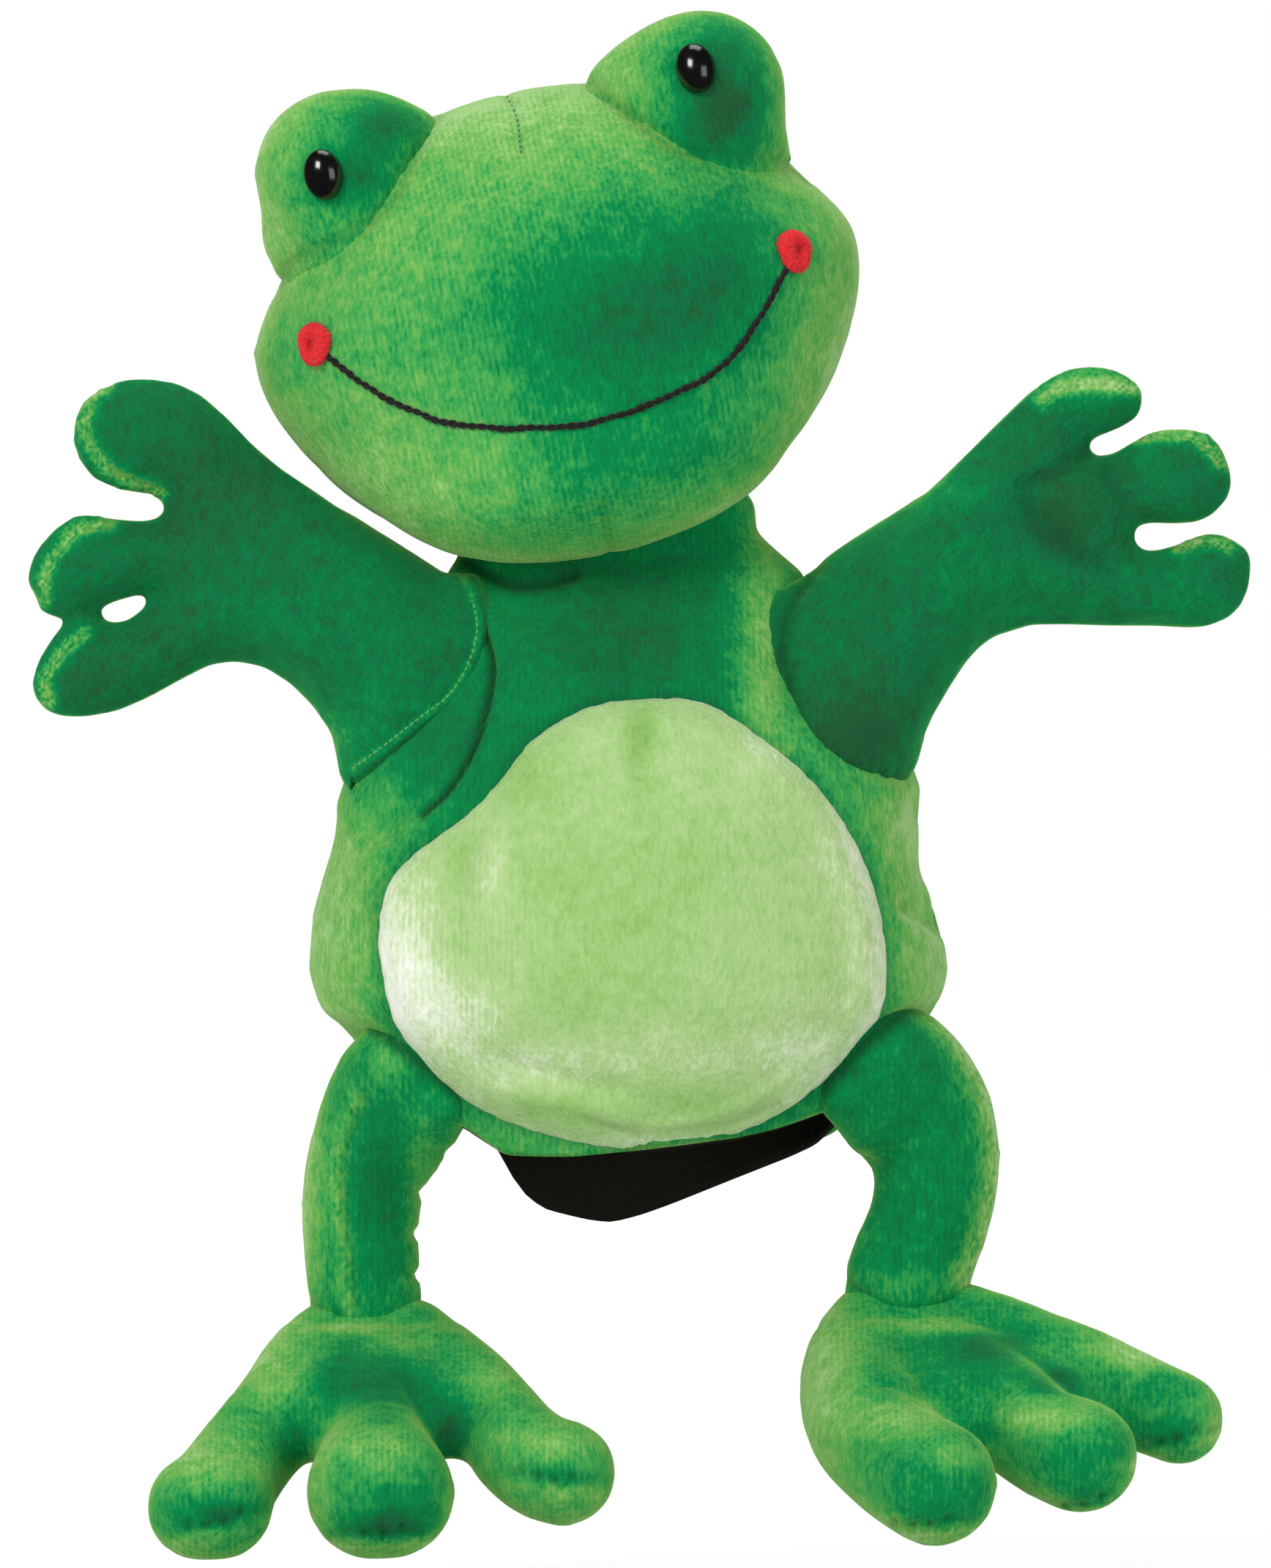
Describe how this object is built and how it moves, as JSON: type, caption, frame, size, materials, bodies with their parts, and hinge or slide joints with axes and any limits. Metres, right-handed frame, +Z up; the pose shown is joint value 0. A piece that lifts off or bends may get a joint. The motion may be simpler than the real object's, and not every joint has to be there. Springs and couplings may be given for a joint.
{
  "type": "frog hand puppet",
  "caption": "Plush frog glove puppet with a stuffed nodding head, raised three-fingered arms, swinging legs and floppy webbed feet around a lined hand opening.",
  "frame": {"origin": "middle of the hand opening at the level of the front hem", "axes": "+Z up the body towards the head, -Y the way the face looks, +X to the puppet's own left"},
  "size_m": [0.2501, 0.1136, 0.3177],
  "materials": {
    "green_plush": "short-pile velour, napped",
    "belly_plush": "short-pile velour, pale",
    "lining_black": "plain woven lining",
    "stuffing_white": "loose polyester fibre fill",
    "thread_black": "twisted embroidery cord",
    "thread_red": "coiled embroidery thread",
    "eye_plastic": "polished",
    "washer_plastic": "moulded"
  },
  "bodies": {
    "torso": {"body_front_panel": "green_plush", "body_back_panel": "green_plush", "belly_patch": "belly_plush", "lining_front": "lining_black", "lining_back": "lining_black"},
    "neck": {"neck_seam": "thread_black"},
    "head": {"head_skin": "green_plush", "head_stuffing": "stuffing_white", "head_finger_tube": "lining_black", "mouth_thread": "thread_black", "left_eye_dome": "green_plush", "left_dome_stuffing": "stuffing_white", "left_eye": "eye_plastic", "left_eye_washer": "washer_plastic", "left_cheek_knot": "thread_red", "right_eye_dome": "green_plush", "right_dome_stuffing": "stuffing_white", "right_eye": "eye_plastic", "right_eye_washer": "washer_plastic", "right_cheek_knot": "thread_red"},
    "left_arm": {"left_arm_skin": "green_plush", "left_arm_lining": "lining_black", "left_hand_stuffing": "stuffing_white"},
    "left_leg": {"left_leg_skin": "green_plush", "left_leg_stuffing": "stuffing_white"},
    "left_foot": {"left_foot_skin": "green_plush", "left_foot_stuffing": "stuffing_white"},
    "right_arm": {"right_arm_skin": "green_plush", "right_arm_lining": "lining_black", "right_hand_stuffing": "stuffing_white"},
    "right_leg": {"right_leg_skin": "green_plush", "right_leg_stuffing": "stuffing_white"},
    "right_foot": {"right_foot_skin": "green_plush", "right_foot_stuffing": "stuffing_white"}
  },
  "joints": [
    {"name": "head_nod", "type": "hinge", "parent": "torso", "child": "neck", "pos_m": [-0.005, 0.002, 0.126], "axis": [0.9781, 0, 0.2079], "range_deg": [-14, 16], "stiffness_Nm_per_rad": 0.25},
    {"name": "head_turn", "type": "hinge", "parent": "neck", "child": "head", "pos_m": [-0.005, 0.002, 0.126], "axis": [-0.2079, 0, 0.9781], "range_deg": [-35, 35], "stiffness_Nm_per_rad": 0.06},
    {"name": "left_arm_clap", "type": "hinge", "parent": "torso", "child": "left_arm", "pos_m": [0.05, -0.004, 0.102], "axis": [0.5878, 0, -0.809], "range_deg": [-10, 40], "stiffness_Nm_per_rad": 0.05},
    {"name": "right_arm_clap", "type": "hinge", "parent": "torso", "child": "right_arm", "pos_m": [-0.05, -0.004, 0.102], "axis": [0.454, 0, 0.891], "range_deg": [-10, 40], "stiffness_Nm_per_rad": 0.05},
    {"name": "left_leg_swing", "type": "hinge", "parent": "torso", "child": "left_leg", "pos_m": [0.054, -0.002, 0.014], "axis": [-1, 0, 0], "range_deg": [-25, 30], "stiffness_Nm_per_rad": 0.02},
    {"name": "right_leg_swing", "type": "hinge", "parent": "torso", "child": "right_leg", "pos_m": [-0.0515, -0.002, 0.011], "axis": [-1, 0, 0], "range_deg": [-25, 30], "stiffness_Nm_per_rad": 0.02},
    {"name": "left_foot_flex", "type": "hinge", "parent": "left_leg", "child": "left_foot", "pos_m": [0.0567, -0.002, -0.03], "axis": [0.776, 0.6063, 0.1736], "range_deg": [-18, 20], "stiffness_Nm_per_rad": 0.02},
    {"name": "right_foot_flex", "type": "hinge", "parent": "right_leg", "child": "right_foot", "pos_m": [-0.0543, -0.002, -0.0315], "axis": [0.9912, 0.0519, 0.1219], "range_deg": [-18, 20], "stiffness_Nm_per_rad": 0.02}
  ]
}
